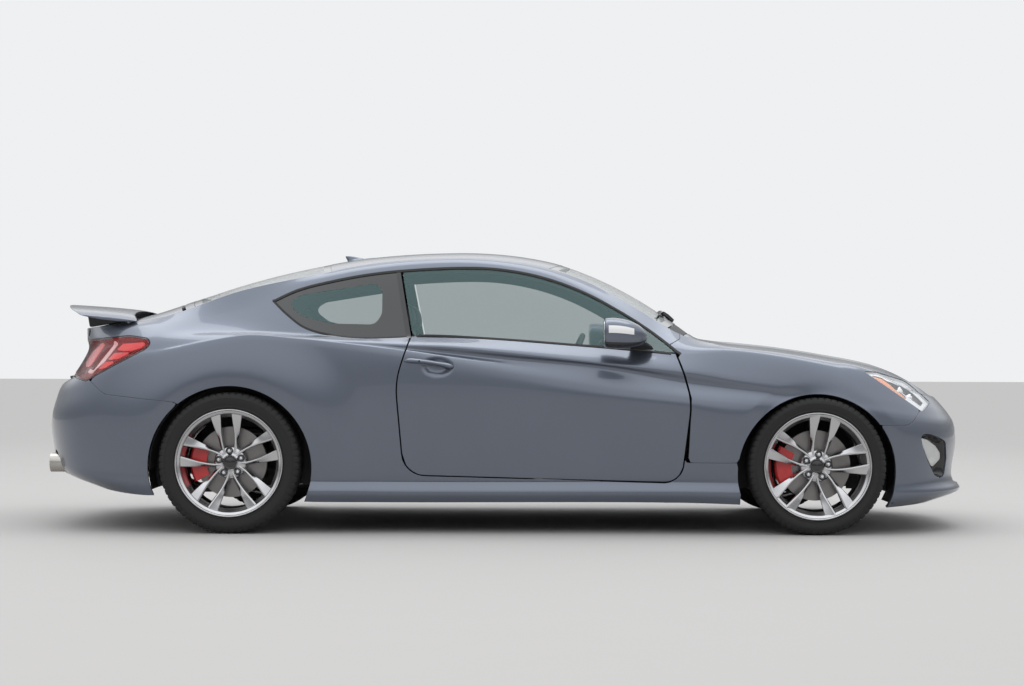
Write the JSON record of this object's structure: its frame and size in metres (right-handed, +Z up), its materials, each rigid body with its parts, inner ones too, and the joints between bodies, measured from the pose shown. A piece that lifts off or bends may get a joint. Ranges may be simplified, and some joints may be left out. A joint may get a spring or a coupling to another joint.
{
  "type": "coupe car",
  "caption": "Two-door coupe with a hinged bonnet and boot lid, opening doors, steered front wheels and free turning wheels.",
  "frame": {"origin": "on the ground under the middle of the car's length and width", "axes": "+X towards the nose, +Y to the driver's left, +Z up"},
  "size_m": [4.63, 2.06, 1.3849],
  "materials": {
    "body_paint": "metallic grey, gloss",
    "window_glass": "tinted, clear",
    "lamp_clear": "clear",
    "lamp_red": "gloss, translucent",
    "trim_black": "satin black",
    "underbody": "satin",
    "chassis_black": "painted black",
    "hinge_steel": "satin",
    "cast_metal": "as cast",
    "exhaust_steel": "brushed",
    "caliper_red": "gloss",
    "tyre": "matt",
    "rim_alloy": "dark, machined gloss",
    "disc_iron": "machined",
    "seat_leather": "black leather",
    "cabin_trim": "soft touch, matt"
  },
  "bodies": {
    "shell": {"floor_pan": "underbody", "boot_floor": "underbody", "rear_shelf": "cabin_trim", "front_structure": "underbody", "side_left": "body_paint", "side_right": "body_paint", "roof_panel": "body_paint", "wing_left": "body_paint", "wing_right": "body_paint", "front_bumper": "body_paint", "rear_bumper": "body_paint", "grille": "trim_black", "cowl_panel": "trim_black", "rear_deck": "body_paint", "windscreen": "window_glass", "rear_window": "window_glass", "quarter_glass": "window_glass", "door_hinges": "hinge_steel", "headlamps": "lamp_clear", "tail_lamps": "lamp_red", "fog_lamps": "lamp_clear", "wipers": "trim_black", "roof_fin": "body_paint", "engine": "cast_metal", "exhaust": "exhaust_steel", "front_cradle": "chassis_black", "rear_cradle": "chassis_black", "drive_shafts": "chassis_black", "rear_knuckles": "chassis_black", "rear_calipers": "caliper_red", "front_seats": "seat_leather", "rear_seat": "seat_leather", "dashboard": "cabin_trim", "steering_wheel": "cabin_trim"},
    "left_door": {"door_left": "body_paint", "door_glass_left": "window_glass", "mirror_left": "body_paint"},
    "right_door": {"door_right": "body_paint", "door_glass_right": "window_glass", "mirror_right": "body_paint"},
    "bonnet": {"bonnet": "body_paint"},
    "boot_lid": {"boot_lid": "body_paint", "boot_spoiler": "body_paint"},
    "left_steering": {"knuckle_front_left": "chassis_black", "caliper_front_left": "caliper_red"},
    "right_steering": {"knuckle_front_right": "chassis_black", "caliper_front_right": "caliper_red"},
    "front_left_wheel": {"tyre_front_left": "tyre", "rim_front_left": "rim_alloy", "brake_disc_front_left": "disc_iron"},
    "front_right_wheel": {"tyre_front_right": "tyre", "rim_front_right": "rim_alloy", "brake_disc_front_right": "disc_iron"},
    "rear_left_wheel": {"tyre_rear_left": "tyre", "rim_rear_left": "rim_alloy", "brake_disc_rear_left": "disc_iron"},
    "rear_right_wheel": {"tyre_rear_right": "tyre", "rim_rear_right": "rim_alloy", "brake_disc_rear_right": "disc_iron"}
  },
  "joints": [
    {"name": "door_left_hinge", "type": "hinge", "parent": "shell", "child": "left_door", "pos_m": [0.789, 0.888, 0.57], "axis": [0, 0, -1], "range_deg": [0, 65]},
    {"name": "door_right_hinge", "type": "hinge", "parent": "shell", "child": "right_door", "pos_m": [0.789, -0.888, 0.57], "axis": [0, 0, 1], "range_deg": [0, 65]},
    {"name": "bonnet_hinge", "type": "hinge", "parent": "shell", "child": "bonnet", "pos_m": [0.876, 0, 0.96], "axis": [0, -1, 0], "range_deg": [0, 50]},
    {"name": "boot_lid_hinge", "type": "hinge", "parent": "shell", "child": "boot_lid", "pos_m": [-1.655, 0, 1.106], "axis": [0, 1, 0], "range_deg": [0, 70]},
    {"name": "steer_left", "type": "hinge", "parent": "shell", "child": "left_steering", "pos_m": [1.49, 0.735, 0.19], "axis": [0, -0.2327, 0.9725], "range_deg": [-35, 35]},
    {"name": "steer_right", "type": "hinge", "parent": "shell", "child": "right_steering", "pos_m": [1.49, -0.735, 0.19], "axis": [0, 0.2327, 0.9725], "range_deg": [-35, 35]},
    {"name": "spin_front_left", "type": "hinge", "parent": "left_steering", "child": "front_left_wheel", "pos_m": [1.49, 0.8025, 0.331], "axis": [0, 1, 0], "continuous": true},
    {"name": "spin_front_right", "type": "hinge", "parent": "right_steering", "child": "front_right_wheel", "pos_m": [1.49, -0.8025, 0.331], "axis": [0, 1, 0], "continuous": true},
    {"name": "spin_rear_left", "type": "hinge", "parent": "shell", "child": "rear_left_wheel", "pos_m": [-1.33, 0.809, 0.339], "axis": [0, 1, 0], "continuous": true},
    {"name": "spin_rear_right", "type": "hinge", "parent": "shell", "child": "rear_right_wheel", "pos_m": [-1.33, -0.809, 0.339], "axis": [0, 1, 0], "continuous": true}
  ],
  "couplings": [
    {"joint": "steer_right", "follows": "steer_left", "ratio": 1}
  ]
}
